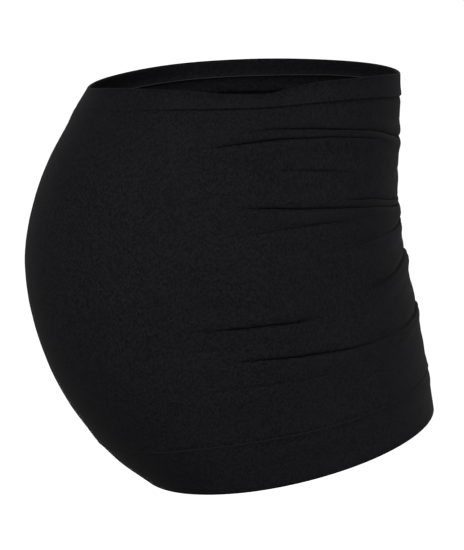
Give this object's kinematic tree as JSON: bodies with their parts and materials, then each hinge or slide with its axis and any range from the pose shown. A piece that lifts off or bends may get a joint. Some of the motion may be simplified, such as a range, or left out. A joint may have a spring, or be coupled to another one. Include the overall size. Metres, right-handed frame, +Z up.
{
  "type": "maternity support belt",
  "caption": "Seamless knitted tube worn over a pregnant belly, with a narrow folded band at the top, a deep folded hem and crosswise folds over the small of the back.",
  "frame": {"origin": "on the torso's axis inside the tube, at the level where the belly reaches furthest forward; a torso holds the belt there", "axes": "+Z up, -Y forward (the way the belly points), +X to the wearer's left"},
  "size_m": [0.3524, 0.3282, 0.3271],
  "materials": {
    "body_knit": "fine matt black stretch knit with upright wales",
    "band_knit": "the same knit, doubled"
  },
  "bodies": {
    "root": {"body_panel": "body_knit", "top_band": "band_knit", "hem_band": "band_knit"}
  },
  "joints": []
}
